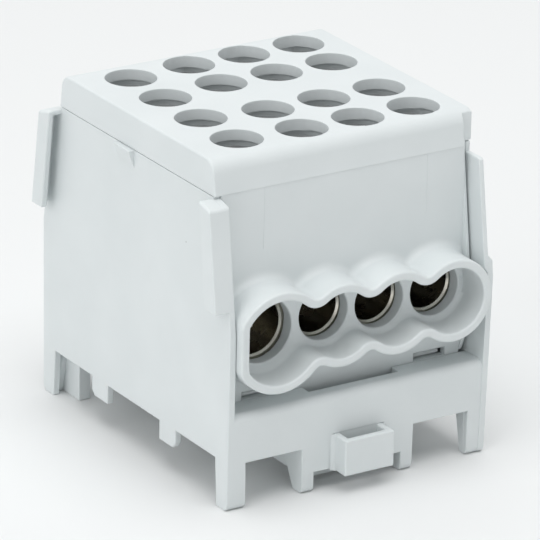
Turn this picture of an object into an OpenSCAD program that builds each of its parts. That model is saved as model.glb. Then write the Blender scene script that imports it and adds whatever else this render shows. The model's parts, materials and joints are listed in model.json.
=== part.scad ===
// Four-pole main-line terminal block for a 35 mm hat rail, in millimetres.
// X runs across the poles, the conductors run along Y with the latch side at -Y, and Z is up.
// The origin lies on the centre line of the rail, level with the soles of the feet.

/* [Base] */
// Width over the side walls at the feet
base_w = 46.6; // [46.6:0.1:47.2]
// Depth over the front and back walls at the feet
base_d = 55; // [54.8:0.1:55.4]
// Thickness of the side walls
wall_t = 1.1; // [1:0.05:1.1]
// Height of the seam between the side walls and the cover
seam_z = 49; // [48.8:0.1:50]
// Height of the shelves in front of and behind the carrier
shelf_z = 15.4; // [15.2:0.1:15.4]
// Radius of the shelves' outer edges
shelf_r = 1.2; // [0.8:0.1:1.4]
// Thickness of the low front and back walls
front_t = 1.6; // [1.2:0.1:1.6]
// Underside of the floor plate, just above the rail
floor_z = 7.85; // [7.75:0.05:7.9]
// Outward lean of the right wall over its lower part
right_lean = 0.6; // [0.6:0.05:0.8]

/* [Feet and rail notches] */
// Roof of the notches in the side walls
notch_z = 7.7; // [7.6:0.05:7.8]
// Distance of the small legs' inner edges from the rail's centre line
small_leg_in = 7.7; // [7:0.1:8.5]
// Distance of the small legs' outer edges from the rail's centre line
small_leg_out = 12.5; // [11:0.1:12.5]
// Sole height of the small legs, which dip into the rail
small_leg_z = 4.65; // [4.2:0.05:5]
// Distance of a corner foot's inner edge at the notch roof
foot_in_y = 23.9; // [23.5:0.1:24.2]
// Distance of a corner foot's inner edge at the sole
foot_toe_y = 24.4; // [24.3:0.1:24.8]
// Inner edge of the corner feet in the front and back walls
foot_x = 19.9; // [19.6:0.1:20.2]
// Inner edge of the guide legs beside the latch
guide_in_x = 7.8; // [7.7:0.1:8]
// Outer edge of the guide legs beside the latch
guide_out_x = 9.95; // [9.6:0.05:10.4]
// Lower edge of the front wall between the guide legs
apron_z = 3.2; // [3:0.1:3.4]

/* [Wings] */
// How far the wings stand out from the left wall
wing_out = 2.4; // [2.2:0.1:2.6]
// Width of a wing along the wall
wing_w = 3.2; // [3:0.1:3.4]
// Thickness of a wing's plate and web
wing_t = 1; // [0.8:0.05:1]
// Height of a wing's lower end
wing_z = 32.1; // [31.5:0.1:33.5]
// Height at which the side walls start to lean in
bend_z = 29; // [28:0.5:30]
// Distance of the walls' edges from the middle, at the bend
edge_bend_y = 27.75; // [27.6:0.05:27.9]
// Distance of the walls' edges from the middle, at the top
edge_top_y = 25.2; // [25:0.1:25.6]
// Outer height of the sloping top of the left wall's ends
wing_low_z = 48; // [47.8:0.1:48.2]
// Inner height of the sloping top of the left wall's ends
wing_high_z = 48.6; // [48.2:0.1:48.7]

/* [Carrier] */
// Depth over the front and back walls of the carrier
carrier_d = 45.4; // [45.2:0.1:45.4]
// Thickness of the carrier's outer walls
carrier_t = 1.6; // [1.4:0.1:1.6]
// Distance of the right corner recesses from the middle, across the poles
corner_x = 21.2; // [21:0.05:21.3]
// Distance of the right corner recesses from the middle, along the poles
corner_y = 21.5; // [21.4:0.05:21.8]

/* [Poles] */
// Place of the first, larger pole
first_pole_x = -15; // [-15.2:0.1:-15]
// Place of the second pole
second_pole_x = -4.1; // [-4.2:0.05:-4.1]
// Distance from the second pole to the third and from the third to the fourth
pole_pitch = 10; // [9.9:0.05:10]
// Height of the first pole's bore
first_bore_z = 26.3; // [26.2:0.1:26.6]
// Height of the other poles' bores
other_bore_z = 27; // [26.8:0.1:27.2]
// Radius of the first pole's bore
first_bore_r = 4.7; // [4.4:0.1:4.8]
// Radius of the other poles' bores
other_bore_r = 4; // [3.6:0.1:4]
// Radius of the first pole's entries in the plastic
first_entry_r = 5.2; // [5:0.1:5.3]
// Radius of the other poles' entries in the plastic
other_entry_r = 4.35; // [4.15:0.05:4.4]
// Width of the first pole's terminal bar
first_bar_w = 10.8; // [10.4:0.1:10.8]
// Width of the other poles' terminal bars
other_bar_w = 9; // [8.8:0.1:9]
// Length of the terminal bars
bar_l = 41.8; // [41:0.1:41.8]
// Top of the terminal bars
bar_top_z = 41.5; // [41:0.1:41.5]
// Metal below the bores
bar_sole = 1.6; // [1.4:0.1:1.8]
// Distance of the first pole's inner screws from the middle
first_inner_y = 5.13; // [5:0.01:5.4]
// Distance of the first pole's outer screws from the middle
first_outer_y = 15.4; // [15:0.1:15.8]
// Distance of the other poles' inner screws from the middle
other_inner_y = 6.74; // [6.5:0.01:7]
// Distance of the other poles' outer screws from the middle
other_outer_y = 16.24; // [16:0.01:16.4]

/* [Collar] */
// Inner radius of the collar's first lobe
first_lobe_r = 6.7; // [6.5:0.05:6.8]
// Inner radius of the collar's other lobes
other_lobe_r = 5.25; // [5.15:0.05:5.3]
// Radius of the hollows between the lobes, on the inside
valley_r = 3; // [2.9:0.1:3.2]
// Thickness of the collar's rim
rim_t = 1.4; // [1.2:0.1:1.4]
// How far the collar stands out from the carrier's wall
collar_out = 6.6; // [6:0.1:7]
// How far the floor inside the collar stands out from the carrier's wall
collar_floor = 0.7; // [0.4:0.1:1]

/* [Cover] */
// Top of the cover
cover_z = 54.4; // [54.4:0.1:55]
// Thickness of the cover's top
cover_t = 2; // [1.8:0.1:2.2]
// Depth of the cover at the seam
cover_d = 45.6; // [45.4:0.1:45.8]
// Radius of the cover's front and back edges
cover_r = 2.3; // [2:0.1:2.6]
// Radius of the screwdriver holes
hole_r = 4.03; // [3.9:0.01:4.1]

/* [Rail latch] */
// Outer width of the loop
loop_w = 8.8; // [8.6:0.1:9.4]
// Lower edge of the loop
loop_low_z = 3; // [2.8:0.1:3.2]
// Upper edge of the loop
loop_high_z = 8.85; // [8.6:0.05:9]
// How far the loop stands out from the front wall
loop_out = 3.4; // [3.2:0.1:3.8]
// Thickness of the loop
loop_t = 1.1; // [1:0.05:1.3]
// Half the width of the rail that the latch and the hook grip
rail_half = 17.5; // [17.4:0.05:17.6]
// How far the noses reach under the rail's flanges
nose_reach = 1.2; // [1:0.1:1.4]

/* [Screws] */
// Radius of the screw head
head_r = 3.7; // [3.5:0.05:3.75]
// Height of the screw head
head_h = 3.6; // [3.2:0.1:3.6]
// Radius of the thread
thread_r = 3; // [2.8:0.05:3]
// Height of the head's top with the clamp open
head_top_z = 52; // [51.8:0.05:52]
// Height of the screw's tip with the clamp open
tip_z = 31; // [30.9:0.05:31.2]

/* [Hidden] */
$fn = 64;
gap = 0.1;
thread_gap = 0.05;
slide_gap = 0.2;
cut = 1;
lobe_steps = 16;
valley_steps = 10;
toe_r = 1;

plastic = "#d6dbdd";
latch_plastic = "#d0d5d8";
nickel = "#c3bfb2";
zinc = "#9c9c98";

left_x = -base_w / 2;
right_x = base_w / 2 - 0.15;
front_y = base_d / 2;
left_in_x = left_x + wall_t;

// The right wall's front edge stands out a little from the front wall
edge_step = 0.12;

// The right wall's upper part is set in, and ends in the tongue that a neighbour's wings grip
tongue_x = [22.15, 23];
tongue_z = 47.6;
shoulder_z = 32.4;
post_z = seam_z + 0.15;

carrier_x = [left_in_x + gap, tongue_x[0] - gap];
carrier_z = floor_z + 1.85;
carrier_y = carrier_d / 2;
carrier_in_y = carrier_y - carrier_t;
carrier_end_t = 1.2;
fin_x = tongue_x[0] - 0.35;
barrier_z = 44.5;
window = [5.6, 1.2];
window_z = 15.35;

pole_x = [first_pole_x, for (k = [0:2]) second_pole_x + k * pole_pitch];
bore_z = per_pole(first_bore_z, other_bore_z);
bore_r = per_pole(first_bore_r, other_bore_r);
entry_r = per_pole(first_entry_r, other_entry_r);
bar_w = per_pole(first_bar_w, other_bar_w);
bar_z = bore_z - bore_r - per_pole(bar_sole, bar_sole);
lobe_r = per_pole(first_lobe_r, other_lobe_r);
lobe_c = [for (i = [0:3]) [pole_x[i], bore_z[i]]];
collar_y = carrier_y + collar_out;
entry_y = carrier_y + collar_floor;
collar_flat_x = carrier_x[0];

cover_x = [left_x, tongue_x[1] + gap];
seam_y = cover_d / 2 - 0.4;

latch_w = 2 * (guide_in_x - slide_gap);
guard_y = [23.7, 22.2];
guard_z = 0.6;
latch_z = [3.6, 7.6];
nose_z = 6.3;
nose_t = 1;
nose_slant = 2.2;
rail_play = 0.3;

// One value for the larger first pole and one for the other three
function per_pole(first, other) = [first, other, other, other];

// Screw places along a pole, from front to back
function rows(pole) =
    pole == 0 ? [-first_outer_y, -first_inner_y, first_inner_y, first_outer_y]
              : [-other_outer_y, -other_inner_y, other_inner_y, other_outer_y];

// Points of an arc, without its last point
function arc(c, r, a0, a1, n = 8) =
    [for (k = [0:n - 1]) let (a = a0 + (a1 - a0) * k / n) c + r * [cos(a), sin(a)]];

// An outline given by its front half, from the middle of the underside to the middle of the top
function mirrored(half) =
    concat(half, [for (i = [len(half) - 1:-1:0]) [-half[i].x, half[i].y]]);

// Direction from one point to another
function toward(p, q) = atan2(q.y - p.y, q.x - p.x);

// Where two circles meet, above or below the line between their centres
function meet(c1, r1, c2, r2, side) =
    let (d = c2 - c1, l = norm(d), a = (l * l + r1 * r1 - r2 * r2) / (2 * l))
    let (h = sqrt(r1 * r1 - a * a), u = d / l)
    c1 + a * u + side * h * [-u.y, u.x];

// Centre of the hollow between a lobe and the next
function valley(i, side) =
    meet(lobe_c[i], lobe_r[i] + valley_r, lobe_c[i + 1], lobe_r[i + 1] + valley_r, side);

// Lower and upper half of the collar's outline, grown by a wall thickness
function collar_low(grow) = [
    for (i = [0:3]) each concat(
        arc(lobe_c[i], lobe_r[i] + grow,
            i == 0 ? -180 : toward(lobe_c[i], valley(i - 1, -1)),
            i == 3 ? 0 : toward(lobe_c[i], valley(i, -1)), lobe_steps),
        i == 3 ? [] : arc(valley(i, -1), valley_r - grow,
            toward(valley(i, -1), lobe_c[i]), toward(valley(i, -1), lobe_c[i + 1]), valley_steps))
];
function collar_high(grow) = [
    for (i = [3:-1:0]) each concat(
        arc(lobe_c[i], lobe_r[i] + grow,
            i == 3 ? 0 : toward(lobe_c[i], valley(i, 1)),
            i == 0 ? 180 : toward(lobe_c[i], valley(i - 1, 1)), lobe_steps),
        i == 0 ? [] : arc(valley(i - 1, 1), valley_r - grow,
            toward(valley(i - 1, 1), lobe_c[i]), toward(valley(i - 1, 1), lobe_c[i - 1]), valley_steps))
];

// The collar's outline, cut flat on the left beside the side wall
function collar_outline(grow, flat_x) =
    let (whole = concat(collar_low(grow), collar_high(grow)))
    let (n = len(whole))
    [for (k = [0:n - 1])
        let (p = whole[k], before = whole[(k + n - 1) % n], after = whole[(k + 1) % n])
        if (p.x > flat_x || before.x > flat_x || after.x > flat_x) [max(p.x, flat_x), p.y]];

// An outline in Y and Z, drawn out along X
module along_x(x0, x1) {
    translate([x0, 0, 0])
        rotate([90, 0, 90])
            linear_extrude(x1 - x0) children();
}

// An outline in X and Z, drawn out along Y
module along_y(y0, y1) {
    translate([0, y1, 0])
        rotate([90, 0, 0])
            linear_extrude(y1 - y0) children();
}

// A box from its lowest to its highest corner
module block(low, high) {
    translate(low) cube(high - low);
}

// The same shape at the front and at the back
module both_ends() {
    children();
    mirror([0, 1, 0]) children();
}

// The same shape on the left and on the right
module both_sides() {
    children();
    mirror([1, 0, 0]) children();
}

// Underside and lower edge of a side wall, from the middle to the bend
function side_low(step) =
    let (leg_cut = 0.8, edge_y = front_y + step)
    concat(
        [
            [-small_leg_in, notch_z],
            [-small_leg_in, small_leg_z],
            [-small_leg_out + leg_cut, small_leg_z],
            [-small_leg_out, small_leg_z + leg_cut],
            [-small_leg_out, notch_z],
            [-foot_in_y, notch_z],
            [-foot_toe_y, 0]
        ],
        arc([-edge_y + toe_r, toe_r], toe_r, 270, 180, 4),
        [[-edge_y, toe_r], [-edge_bend_y - step, bend_z]]
    );

// The left wall leans in above the bend and slopes down at its ends
module left_outline() {
    polygon(mirrored(concat(side_low(0), [
        [-edge_top_y, wing_low_z],
        [-seam_y, wing_high_z],
        [-seam_y, seam_z - gap]
    ])));
}

// The right wall ends in the tongue, with a short post above it
module right_outline() {
    tongue_cut = 0.3;
    polygon(mirrored(concat(side_low(edge_step), [
        [-edge_top_y, tongue_z - tongue_cut],
        [-edge_top_y + tongue_cut, tongue_z],
        [-corner_y, tongue_z],
        [-corner_y, post_z]
    ])));
}

// Section of the right wall, set in above its shoulder
module right_section() {
    top_z = seam_z + cut;
    lean_x = right_x + right_lean;
    slope = 0.8;
    inner_z = shoulder_z - 1.8;
    polygon([
        [right_x - wall_t, 0],
        [right_x, 0],
        [lean_x, shoulder_z - slope],
        [tongue_x[1], shoulder_z],
        [tongue_x[1], top_z],
        [tongue_x[0], top_z],
        [tongue_x[0], inner_z],
        [lean_x - wall_t, inner_z - slope]
    ]);
}

module right_wall() {
    intersection() {
        along_x(tongue_x[0] - cut, right_x + 2 * cut) right_outline();
        along_y(-front_y - cut, front_y + cut) right_section();
    }
}

// Outline of a wing along the leaning edge, set back from that edge
module wing_outline(set_back, lid) {
    low_y = -edge_bend_y + set_back;
    high_y = -edge_top_y + set_back;
    slope = (wing_high_z - wing_low_z) / (edge_top_y - seam_y);
    polygon([
        [low_y, bend_z],
        [high_y, wing_low_z + slope * set_back - lid],
        [high_y + wing_w, wing_low_z + slope * (set_back + wing_w) - lid],
        [low_y + wing_w, bend_z]
    ]);
}

// Wing on the left wall: a plate and a web round a channel that is open below
module wing() {
    lid = 0.85;
    wing_x = left_x - wing_out;
    difference() {
        along_x(wing_x, left_x) wing_outline(0, 0);
        along_x(wing_x + wing_t, left_x) wing_outline(wing_t, lid);
        block([wing_x - cut, -front_y - cut, 0], [left_x, 0, wing_z]);
    }
}

// Distance of the walls' leaning edges from the middle, at a height below the bend
function wall_edge(z) = front_y + (edge_bend_y - front_y) * (z - toe_r) / (bend_z - toe_r);

// Section of one end of the base: the low wall with a rounded toe, and the shelf behind it
module end_section() {
    shelf_t = 1.8;
    inner_y = -front_y + front_t;
    back_y = -carrier_y - gap;
    round_z = shelf_z - shelf_r;
    round_y = -wall_edge(round_z) + shelf_r;
    polygon(concat(
        [[inner_y, 0]],
        arc([-front_y + toe_r, toe_r], toe_r, 270, 180, 4),
        [[-front_y, toe_r]],
        arc([round_y, round_z], shelf_r, 180, 90, 10),
        [
            [round_y, shelf_z],
            [back_y, shelf_z],
            [back_y, shelf_z - shelf_t],
            [inner_y, shelf_z - shelf_t]
        ]
    ));
}

// Outline of one end, with feet in its corners and guide legs beside the latch
module end_outline() {
    draft = 0.1;
    arch_z = notch_z - 0.3;
    polygon(mirrored([
        [-guide_in_x, apron_z],
        [-guide_in_x, 0],
        [-guide_out_x, 0],
        [-guide_out_x - draft, arch_z],
        [-foot_x - draft, arch_z],
        [-foot_x, 0],
        [left_x, 0],
        [left_x, shelf_z]
    ]));
}

// Post behind a foot or a guide leg, tapered from its root to its sole
module post(x0, x1, sole_d, root_d, root_z) {
    outer_y = -front_y + toe_r;
    along_x(x0, x1) polygon([
        [outer_y, 0],
        [-front_y + sole_d, 0],
        [-front_y + root_d, root_z],
        [-front_y + root_d, floor_z + cut],
        [outer_y, floor_z + cut]
    ]);
}

// One end of the base between the side walls, with the slot for levering out the carrier
module base_end() {
    end_x = right_x - wall_t / 2;
    foot_d = [1.9, 3.5];
    guide_d = [2.7, 5.2];
    guide_root_z = 4.8;
    slot_x = [-7.3, 8.8];
    slot_y = 24.75;
    difference() {
        intersection() {
            along_x(left_x, end_x) end_section();
            along_y(-front_y - cut, -carrier_y) end_outline();
        }
        block([slot_x[0], -slot_y, shelf_z / 2], [slot_x[1], -carrier_y, shelf_z + cut]);
    }
    post(left_x + wall_t / 2, -foot_x, foot_d[0], foot_d[1], notch_z);
    post(foot_x, end_x, foot_d[0], foot_d[1], notch_z);
    both_sides() post(-guide_out_x, -guide_in_x, guide_d[0], guide_d[1], guide_root_z);
}

// Snap arm that stands inside the carrier and hooks into its window
module snap_arm(x) {
    arm_w = 4.6;
    arm_t = 1;
    hook_out = 0.6;
    hook_z = window_z + 0.15;
    hook_t = 0.45;
    top_z = window_z + window.y - gap;
    face_y = -carrier_in_y + gap;
    along_x(x - arm_w / 2, x + arm_w / 2) polygon([
        [face_y, floor_z + cut],
        [face_y + arm_t, floor_z + cut],
        [face_y + arm_t, top_z + gap],
        [face_y, top_z],
        [face_y - hook_out, hook_z + hook_t],
        [face_y - hook_out, hook_z],
        [face_y, hook_z]
    ]);
}

// Stepped ribs beside the back feet
module back_ribs() {
    rib_x = [-20.9, -18.8];
    rib_y = 20.5;
    both_sides() block([rib_x[0], rib_y, 0], [rib_x[1], front_y - cut, floor_z + cut]);
}

// Fixed hook that goes under the rail's back flange
module rail_hook() {
    hook_t = 3;
    root_t = 4;
    inner_y = rail_half + rail_play;
    tip_y = rail_half - nose_reach;
    along_x(-latch_w / 2, latch_w / 2) polygon([
        [inner_y, floor_z + cut],
        [inner_y, nose_z],
        [tip_y, nose_z],
        [tip_y, nose_z - nose_t],
        [tip_y + nose_slant, latch_z[0]],
        [rail_half + hook_t, latch_z[0]],
        [rail_half + root_t, floor_z + cut]
    ]);
}

// Rails that carry the latch below the floor plate
module latch_rails() {
    rail_t = 1.4;
    lip = 1;
    lip_z = latch_z[0] - slide_gap;
    both_sides() along_y(-guard_y[1] + slide_gap, -rail_half - lip / 2) polygon([
        [-guide_in_x - rail_t, floor_z + cut],
        [-guide_in_x - rail_t, lip_z - lip],
        [-guide_in_x + lip, lip_z - lip],
        [-guide_in_x + lip, lip_z],
        [-guide_in_x, lip_z],
        [-guide_in_x, floor_z + cut]
    ]);
}

// Wedge lug under the seam on the left wall
module wedge_lug() {
    lug_y = [0.3, 4.8];
    lug_out = 1.05;
    lug_h = 3;
    along_y(lug_y[0], lug_y[1]) polygon([
        [left_x + wall_t / 2, seam_z - gap],
        [left_x - lug_out, seam_z - gap],
        [left_x, seam_z - lug_h],
        [left_x + wall_t / 2, seam_z - lug_h]
    ]);
}

module base() {
    loop_room = loop_w / 2 + gap;
    color(plastic) difference() {
        union() {
            along_x(left_x, left_in_x) left_outline();
            right_wall();
            both_ends() wing();
            both_ends() base_end();
            both_ends() snap_arm(pole_x[0]);
            both_ends() snap_arm(pole_x[3]);
            block([left_x + wall_t / 2, -front_y + front_t / 2, floor_z],
                  [right_x - wall_t / 2, front_y - front_t / 2, carrier_z]);
            back_ribs();
            rail_hook();
            latch_rails();
            wedge_lug();
        }
        block([-loop_room, -front_y - cut, 0], [loop_room, -front_y + front_t, loop_high_z + gap]);
    }
}

// Fin at a right corner of the carrier, behind the groove that takes a neighbour's wing
module corner_fin() {
    foot_z = shelf_z + slide_gap;
    lead_in = 4.4;
    low_y = -edge_bend_y + wing_w + gap;
    high_y = -edge_top_y + wing_w + gap;
    root_y = -corner_y + cut;
    along_x(corner_x, fin_x) polygon([
        [root_y, foot_z],
        [-carrier_y, foot_z],
        [low_y, foot_z + lead_in],
        [low_y, bend_z],
        [high_y, tongue_z],
        [root_y, tongue_z]
    ]);
}

// Box of the carrier, with fins in its set-back right corners
module carrier_box() {
    difference() {
        block([carrier_x[0], -carrier_y, carrier_z], [carrier_x[1], carrier_y, seam_z]);
        both_ends() block([corner_x, -carrier_d, 0], [base_w, -corner_y, cover_z]);
    }
    both_ends() corner_fin();
}

// Space for one terminal bar, the hollow under it and its entries
module pole_space(i) {
    lead_in = 0.15;
    low_x = pole_x[i] - bar_w[i] / 2 - gap;
    high_x = pole_x[i] + bar_w[i] / 2 + gap;
    block([low_x, -carrier_in_y, bar_z[i]], [high_x, carrier_in_y, cover_z]);
    block([low_x, -carrier_in_y, 0], [high_x, carrier_in_y, bar_z[i] - carrier_t]);
    both_ends() translate([pole_x[i], -entry_y, bore_z[i]])
        rotate([-90, 0, 0]) {
            translate([0, 0, -cut]) cylinder(r = entry_r[i], h = entry_y - carrier_in_y + 2 * cut);
            cylinder(r1 = entry_r[i] + lead_in, r2 = entry_r[i], h = lead_in);
        }
}

module terminal_carrier() {
    color(plastic) difference() {
        union() {
            carrier_box();
            both_ends() along_y(-collar_y, -carrier_y + cut)
                polygon(collar_outline(rim_t, collar_flat_x));
        }
        both_ends() along_y(-collar_y - cut, -entry_y)
            polygon(collar_outline(0, collar_flat_x + rim_t));
        for (i = [0:3]) pole_space(i);
        block([carrier_x[0] + carrier_t, -carrier_in_y, barrier_z],
              [carrier_x[1] - carrier_end_t, carrier_in_y, cover_z]);
        for (x = [pole_x[0], pole_x[3]])
            both_ends() block([x - window.x / 2, -carrier_y - cut, window_z],
                              [x + window.x / 2, -carrier_in_y + cut, window_z + window.y]);
    }
}

// Section of the cover: leaning front and back faces under rounded edges
module cover_section() {
    lean = 0.4;
    round_y = -cover_d / 2 + lean + cover_r;
    polygon(mirrored(concat(
        [[-cover_d / 2, seam_z]],
        arc([round_y, cover_z - cover_r], cover_r, 180, 90, 12),
        [[round_y, cover_z]]
    )));
}

// Lip that locates the cover inside the carrier
module cover_lip() {
    lip_t = 0.6;
    lip_z = 47;
    x0 = carrier_x[0] + carrier_t + gap;
    x1 = carrier_x[1] - carrier_end_t - gap;
    y1 = carrier_in_y - gap;
    difference() {
        block([x0, -y1, lip_z], [x1, y1, cover_z - cover_t / 2]);
        block([x0 + lip_t, -y1 + lip_t, 0], [x1 - lip_t, y1 - lip_t, cover_z]);
    }
}

module cover() {
    flank_t = 2.2;
    inner_y = cover_d / 2 - flank_t;
    color(plastic) difference() {
        union() {
            difference() {
                along_x(cover_x[0], cover_x[1]) cover_section();
                block([cover_x[0] + flank_t, -inner_y, 0],
                      [cover_x[1] - flank_t, inner_y, cover_z - cover_t]);
                both_ends() block([corner_x, -cover_d, 0], [base_w, -corner_y, cover_z + cut]);
                block([carrier_x[1], -cover_d, 0], [base_w, cover_d, post_z + slide_gap]);
            }
            cover_lip();
        }
        for (i = [0:3])
            for (y = rows(i))
                translate([pole_x[i], y, cover_z - cover_t - cut])
                    cylinder(r = hole_r, h = cover_t + 2 * cut);
    }
}

// Sliding latch: a loop for the screwdriver, a guard plate and the nose under the rail's flange
module rail_latch() {
    half_w = loop_w / 2;
    loop_y = -front_y - loop_out;
    tip_y = -rail_half + nose_reach;
    back_y = -rail_half - rail_play;
    color(latch_plastic) difference() {
        union() {
            block([-half_w, loop_y, loop_low_z], [half_w, -front_y + cut, loop_high_z]);
            block([-half_w, -front_y, latch_z[0]], [half_w, -guard_y[1], latch_z[1]]);
            along_x(-latch_w / 2, latch_w / 2) polygon([
                [-guard_y[0], guard_z],
                [-guard_y[1], guard_z],
                [-guard_y[1], latch_z[0]],
                [tip_y - nose_slant, latch_z[0]],
                [tip_y, nose_z - nose_t],
                [tip_y, nose_z],
                [back_y, nose_z],
                [back_y, latch_z[1]],
                [-guard_y[0], latch_z[1]]
            ]);
        }
        block([-half_w + loop_t, loop_y + loop_t, 0], [half_w - loop_t, -front_y, cover_z]);
    }
}

// Terminal bar with its conductor bore and four threaded holes
module terminal_bar(i) {
    lead_in = 0.3;
    color(nickel) difference() {
        block([pole_x[i] - bar_w[i] / 2, -bar_l / 2, bar_z[i]],
              [pole_x[i] + bar_w[i] / 2, bar_l / 2, bar_top_z]);
        translate([pole_x[i], -bar_l / 2 - cut, bore_z[i]])
            rotate([-90, 0, 0]) cylinder(r = bore_r[i], h = bar_l + 2 * cut);
        both_ends() translate([pole_x[i], -bar_l / 2, bore_z[i]])
            rotate([-90, 0, 0])
                cylinder(r1 = bore_r[i] + lead_in, r2 = bore_r[i], h = lead_in);
        for (y = rows(i))
            translate([pole_x[i], y, bore_z[i]])
                cylinder(r = thread_r + thread_gap, h = bar_top_z);
    }
}

// Clamp screw with a combined slot and cross in its head
module clamp_screw(i, j) {
    under_head = head_top_z - head_h;
    tip_cut = 0.6;
    head_cut = 0.4;
    slot_w = 1.2;
    cross_l = 4.4;
    slot_z = head_top_z - 1.8;
    color(zinc) translate([pole_x[i], rows(i)[j], 0]) difference() {
        rotate_extrude() polygon([
            [0, tip_z],
            [thread_r - tip_cut, tip_z],
            [thread_r, tip_z + tip_cut],
            [thread_r, under_head],
            [head_r, under_head],
            [head_r, head_top_z - head_cut],
            [head_r - head_cut, head_top_z],
            [0, head_top_z]
        ]);
        block([-head_r - cut, -slot_w / 2, slot_z], [head_r + cut, slot_w / 2, head_top_z + cut]);
        block([-slot_w / 2, -cross_l / 2, slot_z], [slot_w / 2, cross_l / 2, head_top_z + cut]);
    }
}

base();
terminal_carrier();
cover();
rail_latch();
for (i = [0:3]) {
    terminal_bar(i);
    for (j = [0:3])
        clamp_screw(i, j);
}
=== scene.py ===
"""Terminal block on a pale studio floor.

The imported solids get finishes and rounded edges, and fine moulded forms are added to them.
"""

import json
from collections import Counter
from math import cos, pi, radians, sin

import bmesh
import bpy
import numpy as np
from mathutils import Matrix, Vector
from mathutils.geometry import delaunay_2d_cdt

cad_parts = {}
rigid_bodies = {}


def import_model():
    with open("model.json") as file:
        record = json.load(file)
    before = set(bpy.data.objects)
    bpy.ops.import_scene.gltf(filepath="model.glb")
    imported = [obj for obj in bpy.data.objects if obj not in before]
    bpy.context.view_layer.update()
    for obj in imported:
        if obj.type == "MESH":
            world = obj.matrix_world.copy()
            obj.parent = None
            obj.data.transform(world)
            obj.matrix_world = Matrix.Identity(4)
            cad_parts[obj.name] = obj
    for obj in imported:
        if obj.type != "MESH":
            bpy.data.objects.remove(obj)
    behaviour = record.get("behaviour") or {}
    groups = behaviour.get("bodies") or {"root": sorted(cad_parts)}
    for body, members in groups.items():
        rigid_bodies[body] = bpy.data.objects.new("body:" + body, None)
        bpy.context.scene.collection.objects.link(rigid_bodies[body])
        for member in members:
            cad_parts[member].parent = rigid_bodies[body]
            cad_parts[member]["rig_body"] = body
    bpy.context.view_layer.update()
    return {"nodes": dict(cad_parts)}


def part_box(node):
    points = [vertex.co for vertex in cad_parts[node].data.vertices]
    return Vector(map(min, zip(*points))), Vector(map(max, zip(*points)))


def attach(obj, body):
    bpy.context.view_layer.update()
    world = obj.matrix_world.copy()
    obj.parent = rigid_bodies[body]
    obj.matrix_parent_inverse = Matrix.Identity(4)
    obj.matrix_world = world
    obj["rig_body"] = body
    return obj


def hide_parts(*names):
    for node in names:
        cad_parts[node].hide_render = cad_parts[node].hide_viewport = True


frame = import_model()
nodes = frame["nodes"]
scene = bpy.context.scene

MM = 0.001


# Materials

# Part of a cloud noise over which the tone goes from dark to light
TONE_SPAN = (0.3, 0.7)
# Clouds have a scale and a detail, and grains a scale, a detail and a strength
PLASTIC_CLOUD = (90.0, 3.0)
PLASTIC_GRAIN = (5200.0, 2.0, 0.12)
METAL_CLOUD = (260.0, 4.0)
BRASS_GRAIN = (1800.0, 3.0, 0.2)
STEEL_GRAIN = (1400.0, 3.0, 0.2)
GRAIN_DEPTH = 0.03 * MM
# How far the roughness drifts to either side
PLASTIC_DRIFT = 0.04
METAL_DRIFT = 0.08
PLASTIC_IOR = 1.5

HOUSING_TONES = ((0.660, 0.700, 0.706), (0.690, 0.728, 0.734))
LATCH_TONES = ((0.655, 0.696, 0.702), (0.685, 0.724, 0.730))
BRASS_TONES = ((0.60, 0.57, 0.50), (0.72, 0.69, 0.62))
STEEL_TONES = ((0.34, 0.345, 0.35), (0.44, 0.445, 0.45))

# Specks of dirt: places in millimetres, and radii
HOUSING_SPECKS = (
    ((-23.3, -14.9, 39.3), 0.2 * MM),
    ((4.0, -27.0, 14.8), 0.3 * MM),
    ((5.3, -27.1, 14.9), 0.2 * MM),
)
SPECK_COLOUR = (0.2, 0.21, 0.2, 1)
SPECK_STRENGTH = 0.5
# Share of its radius within which a speck is at full strength
SPECK_CORE = 0.3

# Painted shade: the bars' bores are coloured darker up to their lead-ins, where shade falls inside them
PAINTED_BORE_SHADE = (0.41, 0.385, 0.32, 1)
BORE_SHADE_BLEND = 0.15 * MM
BORE_SHADE_WITHIN = 20.6 * MM


def node_maker(owner):
    """Gives a function that adds a node to a material or a world, with a link where an input is a socket"""
    tree = owner.node_tree

    def make(kind, settings=None, **inputs):
        made = tree.nodes.new(kind)
        for name, value in (settings or {}).items():
            setattr(made, name, value)
        for name, value in inputs.items():
            socket = made.inputs[name.replace("_", " ")]
            if isinstance(value, bpy.types.NodeSocket):
                tree.links.new(value, socket)
            else:
                socket.default_value = value
        return made

    return make


def link(owner, output, socket):
    owner.node_tree.links.new(output, socket)


def new_material(name):
    """An empty material, its node maker and its shader"""
    material = bpy.data.materials.new(name)
    material.use_nodes = True
    shader = material.node_tree.nodes["Principled BSDF"]
    return material, node_maker(material), shader


def mixed(make, share, colour, other):
    """A colour that a share of another one covers"""
    return make("ShaderNodeMixRGB", Fac=share, Color1=colour, Color2=other).outputs["Color"]


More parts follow.
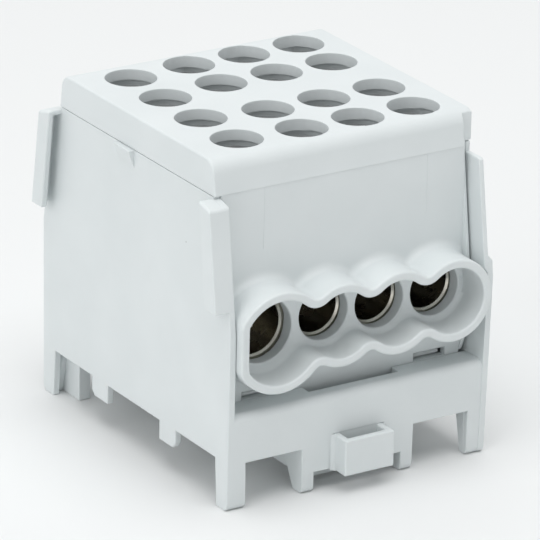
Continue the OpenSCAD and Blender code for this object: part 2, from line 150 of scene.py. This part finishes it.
def mottled(name, tones, roughness, drift, cloud, grain):
    """A material whose tone and gloss drift from place to place over a fine grain

    Gives the material, its node maker, its shader, the places on it and its colour.
    """
    material, make, shader = new_material(name)
    place = make("ShaderNodeTexCoord").outputs["Object"]
    cloud_scale, cloud_detail = cloud
    clouds = make("ShaderNodeTexNoise", Vector=place, Scale=cloud_scale, Detail=cloud_detail).outputs["Fac"]
    shade = make("ShaderNodeValToRGB", Fac=clouds)
    for element, position, tone in zip(shade.color_ramp.elements, TONE_SPAN, tones):
        element.position = position
        element.color = (*tone, 1)
    grain_scale, grain_detail, strength = grain
    marks = make("ShaderNodeTexNoise", Vector=place, Scale=grain_scale, Detail=grain_detail).outputs["Fac"]
    bump = make("ShaderNodeBump", Height=marks, Strength=strength, Distance=GRAIN_DEPTH)
    link(material, bump.outputs["Normal"], shader.inputs["Normal"])
    gloss = make("ShaderNodeMapRange", Value=clouds, To_Min=roughness - drift, To_Max=roughness + drift)
    link(material, gloss.outputs["Result"], shader.inputs["Roughness"])
    return material, make, shader, place, shade.outputs["Color"]


def plastic(name, tones, roughness, specks=()):
    """Moulded polyamide: faintly cloudy, with a fine spark-eroded grain and specks of dirt"""
    material, make, shader, place, colour = mottled(
        name, tones, roughness, PLASTIC_DRIFT, PLASTIC_CLOUD, PLASTIC_GRAIN)
    for spot, radius in specks:
        away = make("ShaderNodeVectorMath", {"operation": "DISTANCE"}, Vector=place)
        away.inputs[1].default_value = [value * MM for value in spot]
        cover = make("ShaderNodeMapRange", Value=away.outputs["Value"], From_Min=SPECK_CORE * radius,
                     From_Max=radius, To_Min=SPECK_STRENGTH, To_Max=0.0)
        colour = mixed(make, cover.outputs["Result"], colour, SPECK_COLOUR)
    link(material, colour, shader.inputs["Base Color"])
    shader.inputs["IOR"].default_value = PLASTIC_IOR
    return material


def metal(name, tones, roughness, grain, shade_within=None):
    """Plated metal with fine machining marks, and shade painted darker within a distance from the middle
    along Y
    """
    material, make, shader, place, colour = mottled(name, tones, roughness, METAL_DRIFT, METAL_CLOUD, grain)
    # Painted shade: a darker colour inside the bores, within a distance from the middle along Y
    if shade_within:
        along = make("ShaderNodeSeparateXYZ", Vector=place).outputs["Y"]
        away = make("ShaderNodeMath", {"operation": "ABSOLUTE"}, Value=along)
        painted_shade = make("ShaderNodeMapRange", Value=away.outputs["Value"], From_Min=shade_within - BORE_SHADE_BLEND,
                       From_Max=shade_within, To_Min=1.0, To_Max=0.0)
        colour = mixed(make, painted_shade.outputs["Result"], colour, PAINTED_BORE_SHADE)
    link(material, colour, shader.inputs["Base Color"])
    shader.inputs["Metallic"].default_value = 1.0
    return material


housing_plastic = plastic("housing_plastic", HOUSING_TONES, roughness=0.46, specks=HOUSING_SPECKS)
latch_plastic = plastic("latch_plastic", LATCH_TONES, roughness=0.44)
plated_brass = metal("plated_brass", BRASS_TONES, roughness=0.26, grain=BRASS_GRAIN,
                     shade_within=BORE_SHADE_WITHIN)
zinc_steel = metal("zinc_steel", STEEL_TONES, roughness=0.5, grain=STEEL_GRAIN)


# Rounded edges

WELD = 1e-6
FLAT_ANGLE = radians(0.5)
SHARP_ANGLE = radians(40)
CREASE_ANGLE = radians(30)
# Below this cosine an edge carries on in another one
CARRY_ON = -0.7
# Shares of an edge's length at which the way across a face is measured
CROSS_AT = (0.15, 0.5, 0.85)
# Room in metres where nothing is in the way
FAR = 1.0
# A lone face with up to this many corners isn't filled anew
PLAIN_CORNERS = 4
# What the filling gives, and the distance in millimetres within which it merges points
ALL_TRIANGLES = 0
FILL_MERGE = 1e-4

# Share of the room that a rounding may take
ROUND_SHARE = 0.4
ROUND_STEPS = 4
SMALLEST_ROUND = 0.03 * MM
BASE_ROUND = 0.2 * MM
PLASTIC_ROUND = 0.35 * MM
LATCH_ROUND = 0.3 * MM

# Boxes in millimetres whose edges have a rounding of their own
LUG = ((-25, 0, 45.5), (-23.2, 5, 48.7), 0.0)
LEFT_WALL_SEAM = ((-24, -30, 48.7), (-21.5, 30, 49.2), 0.05 * MM)
LATCH_GATE = ((-5.2, -28, 0), (5.2, -25, 9.1), 0.06 * MM)
WING_TOPS = ((-26, -30, 46.5), (-22, 30, 48.7), 0.5 * MM)
WINGS = ((-26, -30, 30), (-22, 30, 46.5), 0.25 * MM)
CARRIER_SEAM = ((-30, -30, 48.9), (30, 30, 49.1), 0.04 * MM)
COVER_SEAM = ((-30, -30, 46), (30, 30, 49.5), 0.05 * MM)
HOLE_RIMS = ((-22, -21, 54), (22, 21, 55), 0.12 * MM)
BASE_PLACES = (LUG, LEFT_WALL_SEAM, LATCH_GATE, WING_TOPS, WINGS)
CARRIER_PLACES = (CARRIER_SEAM,)
COVER_PLACES = (COVER_SEAM, HOLE_RIMS)


def angle(edge):
    """Angle between the two faces at an edge, or 0 where there aren't two"""
    return edge.calc_face_angle() if len(edge.link_faces) == 2 else 0.0


def new_piece(name, shape, material):
    """An object made of a bmesh, which it uses up"""
    mesh = bpy.data.meshes.new(name)
    shape.to_mesh(mesh)
    shape.free()
    mesh.materials.append(material)
    piece = bpy.data.objects.new(name, mesh)
    scene.collection.objects.link(piece)
    return piece


def shaded(name, shape, material):
    """A smooth-shaded piece with creases at its sharp edges and flat normals on its large faces"""
    bmesh.ops.dissolve_degenerate(shape, dist=WELD, edges=shape.edges)
    for face in shape.faces:
        face.smooth = True
    for edge in shape.edges:
        edge.smooth = angle(edge) < CREASE_ANGLE
    piece = new_piece(name, shape, material)
    piece.modifiers.new("flat faces", "WEIGHTED_NORMAL").keep_sharp = True
    return piece


def radius_at(edge, radius, places):
    """The rounding wanted at an edge: that of the first of the places that holds it, or the general one"""
    middle = (edge.verts[0].co + edge.verts[1].co) / 2 / MM
    for low, high, other in places:
        if all(a <= m <= b for a, m, b in zip(low, middle, high)):
            return other
    return radius


def room(edge):
    """Shortest stretch at the edge's ends along which its rounding has to fit"""
    stretches = []
    for corner in edge.verts:
        along = (edge.other_vert(corner).co - corner.co).normalized()
        for other in corner.link_edges:
            away = (other.other_vert(corner).co - corner.co).normalized()
            carries_on = angle(other) > SHARP_ANGLE and along.dot(away) < CARRY_ON
            if other is not edge and not carries_on:
                stretches.append(other.calc_length())
    return min(stretches, default=FAR)


def across(loop):
    """Shortest way from an edge of a face, straight across the face, to the face's outline"""
    others = [e for e in loop.face.edges if e is not loop.edge and angle(e) > FLAT_ANGLE]
    start, end = loop.vert.co, loop.link_loop_next.vert.co
    along = (end - start).normalized()
    inward = loop.face.normal.cross(along)
    ends = np.array([[v.co - start for v in e.verts] for e in others]).reshape(-1, 2, 3)
    beside = ends @ np.array(along)
    ahead = ends @ np.array(inward)
    shortest = FAR
    for share in CROSS_AT:
        first, last = (beside - share * (end - start).length).T
        crosses = (first > 0) != (last > 0)
        part = first[crosses] / (first[crosses] - last[crosses])
        ways = ahead[crosses, 0] + part * (ahead[crosses, 1] - ahead[crosses, 0])
        shortest = min(shortest, min(ways[ways > WELD], default=FAR))
    return shortest


def coplanar(edge):
    """Whether an edge lies inside a flat stretch of faces"""
    if len(edge.link_faces) != 2:
        return False
    one, other = (face.normal for face in edge.link_faces)
    return abs(one.dot(other)) > cos(FLAT_ANGLE)


def flat_stretches(shape):
    """The faces in groups, each of which is one flat stretch"""
    stretches = []
    done = set()
    for first in shape.faces:
        if first not in done:
            done.add(first)
            stretch = [first]
            for face in stretch:
                for edge in filter(coplanar, face.edges):
                    fresh = [other for other in edge.link_faces if other not in done]
                    done.update(fresh)
                    stretch.extend(fresh)
            stretches.append(stretch)
    return stretches


def inside(spots, starts, ends):
    """Which of some points in a plane lie inside the outlines that some straight pieces make"""
    spots, starts, ends = spots[:, None], starts[None], ends[None]
    level = spots[..., 1]
    crosses = (starts[..., 1] > level) != (ends[..., 1] > level)
    rise = np.where(crosses, ends[..., 1] - starts[..., 1], 1.0)
    reached = starts[..., 0] + (level - starts[..., 1]) / rise * (ends[..., 0] - starts[..., 0])
    return np.count_nonzero(crosses & (reached > spots[..., 0]), axis=1) % 2 == 1


def refill(shape):
    """Fills each flat stretch of faces anew from its outline and the outlines of its holes"""
    for stretch in flat_stretches(shape):
        if len(stretch) == 1 and len(stretch[0].verts) <= PLAIN_CORNERS:
            continue
        normal = sum((face.normal * face.calc_area() for face in stretch), Vector()).normalized()
        uses = Counter(edge for face in stretch for edge in face.edges)
        outline = [edge for edge, count in uses.items() if count == 1]
        inner = [edge for edge, count in uses.items() if count > 1]
        corners = list(dict.fromkeys(corner for edge in outline for corner in edge.verts))
        number = {corner: k for k, corner in enumerate(corners)}
        lay = normal.rotation_difference(Vector((0, 0, 1))).to_matrix()
        laid = [lay @ corner.co / MM for corner in corners]
        lines = [tuple(number[corner] for corner in edge.verts) for edge in outline]
        points, _, triangles, origins, _, _ = delaunay_2d_cdt(
            [point.xy for point in laid], lines, [], ALL_TRIANGLES, FILL_MERGE)
        middles = np.array([[points[k] for k in triangle] for triangle in triangles]).mean(axis=1)
        flat = np.array(laid)[:, :2]
        kept = inside(middles, *(flat[list(end)] for end in zip(*lines)))
        bmesh.ops.delete(shape, geom=stretch, context="FACES_ONLY")
        bmesh.ops.delete(shape, geom=inner, context="EDGES")
        level = sum(point.z for point in laid) / len(laid)
        filled = [corners[origin[0]] if origin else
                  shape.verts.new(lay.inverted() @ Vector((point.x, point.y, level)) * MM)
                  for point, origin in zip(points, origins)]
        for triangle in np.array(triangles)[kept]:
            wanted = [filled[k] for k in triangle]
            if shape.faces.get(wanted) is None:
                shape.faces.new(wanted)
    bmesh.ops.delete(shape, geom=[corner for corner in shape.verts if not corner.link_faces], context="VERTS")


def whole_faced(node):
    """A CAD node's shape with each flat face in as few pieces as possible"""
    shape = bmesh.new()
    shape.from_mesh(nodes[node].data)
    bmesh.ops.remove_doubles(shape, verts=shape.verts, dist=WELD)
    bmesh.ops.dissolve_limit(shape, angle_limit=FLAT_ANGLE, verts=shape.verts, edges=shape.edges)
    return shape


def rounded(node, material, radius, places=()):
    """A copy of a CAD node whose outer edges are rounded as far as their surroundings allow"""
    shape = whole_faced(node)
    largest = max([radius] + [other for _, _, other in places])
    weight = shape.edges.layers.float.new("bevel_weight_edge")
    for edge in shape.edges:
        if angle(edge) > SHARP_ANGLE and edge.is_convex:
            space = min([room(edge)] + [across(loop) for loop in edge.link_loops])
            wanted = min(radius_at(edge, radius, places), ROUND_SHARE * space)
            edge[weight] = wanted / largest if wanted > SMALLEST_ROUND else 0.0
    sharp = new_piece(node + "_sharp", shape, material)
    bevel = sharp.modifiers.new("round", "BEVEL")
    bevel.limit_method = "WEIGHT"
    bevel.width = largest
    bevel.segments = ROUND_STEPS
    bevel.use_clamp_overlap = False
    bevel.loop_slide = False
    shape = bmesh.new()
    shape.from_mesh(sharp.evaluated_get(bpy.context.evaluated_depsgraph_get()).data)
    bpy.data.objects.remove(sharp)
    refill(shape)
    piece = shaded(node + "_rounded", shape, material)
    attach(piece, nodes[node]["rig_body"])
    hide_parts(node)
    return piece


def repaint(node, material):
    """Gives a CAD node that stays as it is a finish"""
    nodes[node].data.materials.clear()
    nodes[node].data.materials.append(material)


rounded("base", housing_plastic, BASE_ROUND, BASE_PLACES)
rounded("terminal_carrier", housing_plastic, PLASTIC_ROUND, CARRIER_PLACES)
rounded("cover", housing_plastic, PLASTIC_ROUND, COVER_PLACES)
rounded("rail_latch", latch_plastic, LATCH_ROUND)
for name in sorted(nodes):
    if name.startswith("bar_"):
        repaint(name, plated_brass)
    if name.startswith("screw_"):
        repaint(name, zinc_steel)


# Fine moulded forms

# Soft roots of the collars, on the wall outside them and on their floor
CARRIER_WALL_Y = 22.7
COLLAR_FLOOR_Y = 23.4
COLLAR_ROOTS = (("outer", CARRIER_WALL_Y * MM, 1.3 * MM), ("inner", COLLAR_FLOOR_Y * MM, 0.7 * MM))
# Beyond this X, at the corner fin, only what faces right has a root
FIN_X = 21 * MM
ROOT_STEPS = 10
ROOT_SUNK = 0.15 * MM

# Soft roots of the latch's loop
LOOP_ROOT = 0.7 * MM
LOOP_X = 4.4 * MM
LOOP_Z = (3.0 * MM, 8.85 * MM)
LOOP_FOOT_Y = -27.6 * MM

# Closed wall behind the loop, a box in millimetres
LOOP_BACK = ((-4.47, -27.48, 7.4), (4.47, -26.9, 8.92))

# Upright borders of the front wall's panel: a box in millimetres, set to the left and to the right by PANEL_X
PANEL_X = 14.5
PANEL_RELIEF = 0.04
PANEL_SUNK = 0.1
PANEL_LINE = (
    (-0.06, -CARRIER_WALL_Y - PANEL_RELIEF, 39.2),
    (0.06, -CARRIER_WALL_Y + PANEL_SUNK, 48.9),
)

# Wells that hang from the cover's plate round the screws
COVER_PLATE = 2.0 * MM
WELL_R = (4.5 * MM, 4.7 * MM)
WELL_H = 2.0 * MM
WELL_SUNK = 0.05 * MM
WELL_SIDES = 64


def foot_lines(wall_y):
    """Lines along which a collar stands on a wall: points, normals in X and Z, and whether closed"""
    shape = whole_faced("terminal_carrier")
    found = {}
    for edge in shape.edges:
        middle = (edge.verts[0].co + edge.verts[1].co) / 2
        if edge.is_convex or angle(edge) < SHARP_ANGLE or abs(middle.y - wall_y) > WELD:
            continue
        out = min((face.normal for face in edge.link_faces), key=lambda n: abs(n.y))
        if middle.x < FIN_X or out.x > 0:
            found[edge] = np.array((out.x, out.z))
    lines = []
    while found:
        tips = [v for e in found for v in e.verts if sum(o in found for o in v.link_edges) == 1]
        corner = tips[0] if tips else next(iter(found)).verts[0]
        points, normals = [], []
        edge = next((e for e in corner.link_edges if e in found), None)
        while edge:
            points.append((corner.co.x, corner.co.z))
            normals.append(found.pop(edge))
            corner = edge.other_vert(corner)
            edge = next((e for e in corner.link_edges if e in found), None)
        if tips:
            points.append((corner.co.x, corner.co.z))
            normals = normals[:1] + [a + b for a, b in zip(normals, normals[1:])] + normals[-1:]
        else:
            normals = [a + b for a, b in zip(normals[-1:] + normals, normals)]
        lines.append((points, [n / np.linalg.norm(n) for n in normals], not tips))
    shape.free()
    return lines


def skin(rings, closed):
    """A shape with a skin over rings of points, closed on itself or with its two ends covered"""
    shape = bmesh.new()
    rings = [[shape.verts.new(point) for point in ring] for ring in rings]
    for ring, after in zip(rings, rings[1:] + rings[:1] * closed):
        for k in range(len(ring)):
            shape.faces.new((ring[k - 1], ring[k], after[k], after[k - 1]))
    if not closed:
        shape.faces.new(rings[0])
        shape.faces.new(rings[-1])
    return shape


def hollow_strip(points, normals, closed, wall_y, radius, sunk):
    """A strip with a hollow quarter-round section, along a line on a wall on which something stands"""
    turns = np.linspace(0, pi / 2, ROOT_STEPS + 1)
    section = [(radius * (1 - cos(a)), radius * (1 - sin(a))) for a in turns] + [sunk]
    way = 1 if wall_y > 0 else -1
    return skin([[(p[0] + n[0] * u, wall_y + way * v, p[1] + n[1] * u) for u, v in section]
                 for p, n in zip(points, normals)], closed)


def well(screw, plate_z):
    """A short tube that hangs from the cover's plate round a screw"""
    low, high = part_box(screw)
    x, y = (low[0] + high[0]) / 2, (low[1] + high[1]) / 2
    section = [(r, plate_z + z) for r, z in ((WELL_R[0], WELL_SUNK), (WELL_R[0], -WELL_H),
                                             (WELL_R[1], -WELL_H), (WELL_R[1], WELL_SUNK))]
    turns = np.linspace(0, 2 * pi, WELL_SIDES, endpoint=False)
    return skin([[(x + r * cos(a), y + r * sin(a), z) for r, z in section] for a in turns], True)


def trim(shape, x, way):
    """Cuts a shape off at a plane across X and closes it there"""
    cut = bmesh.ops.bisect_plane(shape, geom=shape.verts[:] + shape.edges[:] + shape.faces[:],
                                 plane_co=(x, 0, 0), plane_no=(way, 0, 0), clear_outer=True)
    bmesh.ops.holes_fill(shape, edges=[e for e in cut["geom_cut"] if isinstance(e, bmesh.types.BMEdge)])


def box(low, high):
    """A box between two corners in millimetres"""
    shape = bmesh.new()
    bmesh.ops.create_cube(shape, size=1.0)
    for corner in shape.verts:
        corner.co = [(b if at > 0 else a) * MM for a, b, at in zip(low, high, corner.co)]
    return shape


def added_piece(name, shape, material, node):
    """A piece that is added to the body of a CAD node"""
    bmesh.ops.recalc_face_normals(shape, faces=shape.faces)
    piece = shaded(name, shape, material)
    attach(piece, nodes[node]["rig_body"])


carrier_low_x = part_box("terminal_carrier")[0][0]
for end, side in (("front", -1), ("back", 1)):
    for place, wall_y, radius in COLLAR_ROOTS:
        for number, (points, normals, closed) in enumerate(foot_lines(side * wall_y), 1):
            shape = hollow_strip(points, normals, closed, side * wall_y, radius, (-ROOT_SUNK, -ROOT_SUNK))
            if not closed:
                trim(shape, carrier_low_x, -1)
                trim(shape, max(x for x, _ in points) + ROOT_SUNK, 1)
            added_piece(f"collar_root_{end}_{place}_{number}", shape, housing_plastic,
                        "terminal_carrier")
for name, way in (("left", -1), ("right", 1)):
    line = [(way * LOOP_X, z) for z in LOOP_Z]
    shape = hollow_strip(line, [(way, 0)] * 2, False, LOOP_FOOT_Y, LOOP_ROOT, (-ROOT_SUNK, 0))
    added_piece(f"loop_root_{name}", shape, latch_plastic, "rail_latch")
    low, high = ((x + way * PANEL_X, y, z) for x, y, z in PANEL_LINE)
    added_piece(f"panel_line_{name}", box(low, high), housing_plastic, "terminal_carrier")
added_piece("loop_back", box(*LOOP_BACK), latch_plastic, "rail_latch")
plate_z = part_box("cover")[1][2] - COVER_PLATE
for name in sorted(nodes):
    if name.startswith("screw_"):
        added_piece(name.replace("screw_", "well_"), well(name, plate_z), housing_plastic,
                    "cover")


# Floor and light

FLOOR_HALF = 3.0
FLOOR_COLOUR = (0.79, 0.80, 0.80, 1)
FLOOR_ROUGHNESS = 0.6
FLOOR_SPECULAR = 0.2
BACKDROP = (0.93, 0.94, 0.945, 1)
SKY_COLOUR = (0.985, 0.995, 1.0, 1)
SKY_BRIGHT = 0.84
SKY_DIM = 0.28
# The sky is dimmest towards this side, over a span of cosines
DIM_SIDE = (-0.1, -0.6, 0.79)
DIM_SPAN = (0.2, 0.95)
LIT_POINT = Vector((0, 0, 0.03))

floor_mesh = bpy.data.meshes.new("floor")
floor_mesh.from_pydata(
    [(-FLOOR_HALF, -FLOOR_HALF, 0), (FLOOR_HALF, -FLOOR_HALF, 0),
     (FLOOR_HALF, FLOOR_HALF, 0), (-FLOOR_HALF, FLOOR_HALF, 0)], [], [(0, 1, 2, 3)])
floor = bpy.data.objects.new("floor", floor_mesh)
scene.collection.objects.link(floor)
floor_paint, _, floor_shader = new_material("floor_paint")
floor_shader.inputs["Base Color"].default_value = FLOOR_COLOUR
floor_shader.inputs["Roughness"].default_value = FLOOR_ROUGHNESS
floor_shader.inputs["Specular IOR Level"].default_value = FLOOR_SPECULAR
floor_mesh.materials.append(floor_paint)

world = bpy.data.worlds.new("studio")
scene.world = world
world.use_nodes = True
make = node_maker(world)
toward = make("ShaderNodeVectorMath", {"operation": "DOT_PRODUCT"},
              Vector=make("ShaderNodeTexCoord").outputs["Generated"])
toward.inputs[1].default_value = DIM_SIDE
dimming = make("ShaderNodeMapRange", {"interpolation_type": "SMOOTHSTEP"}, Value=toward.outputs["Value"],
               From_Min=DIM_SPAN[0], From_Max=DIM_SPAN[1], To_Min=SKY_BRIGHT, To_Max=SKY_DIM)
sky = world.node_tree.nodes["Background"]
sky.inputs["Color"].default_value = SKY_COLOUR
link(world, dimming.outputs["Result"], sky.inputs["Strength"])
seen = make("ShaderNodeBackground", Color=BACKDROP)
mix = make("ShaderNodeMixShader", Fac=make("ShaderNodeLightPath").outputs["Is Camera Ray"])
link(world, sky.outputs["Background"], mix.inputs[1])
link(world, seen.outputs["Background"], mix.inputs[2])
link(world, mix.outputs["Shader"], world.node_tree.nodes["World Output"].inputs["Surface"])


def softbox(name, place, size, power):
    """A square area lamp that looks at the object"""
    lamp = bpy.data.lights.new(name, "AREA")
    lamp.size = size
    lamp.energy = power
    stand = bpy.data.objects.new(name, lamp)
    stand.location = place
    stand.rotation_euler = (LIT_POINT - Vector(place)).to_track_quat("-Z", "Y").to_euler()
    scene.collection.objects.link(stand)


softbox("top_softbox", (-0.08, -0.26, 1.4), size=1.2, power=14.0)
softbox("left_softbox", (-1.4, -0.3, 0.7), size=1.2, power=5.6)
softbox("low_softbox", (-0.2, -1.3, 0.14), size=0.8, power=1.6)


# Camera

CAMERA_PLACE = Vector((-0.42372, -0.66772, 0.3377))
CAMERA_AIM = Vector((0.00044, -0.00104, 0.02539))
CAMERA_ROLL = radians(-1.11)
LENS = 367.6
SENSOR = 36
CLIP = (0.05, 20)

camera = bpy.data.objects.new("camera", bpy.data.cameras.new("camera"))
camera.data.lens = LENS
camera.data.sensor_width = SENSOR
camera.data.clip_start, camera.data.clip_end = CLIP
level_turn = (CAMERA_AIM - CAMERA_PLACE).to_track_quat("-Z", "Y").to_matrix()
turn = level_turn @ Matrix.Rotation(-CAMERA_ROLL, 3, "Z")
camera.matrix_world = Matrix.Translation(CAMERA_PLACE) @ turn.to_4x4()
scene.collection.objects.link(camera)
scene.camera = camera

scene.view_settings.view_transform = "Standard"
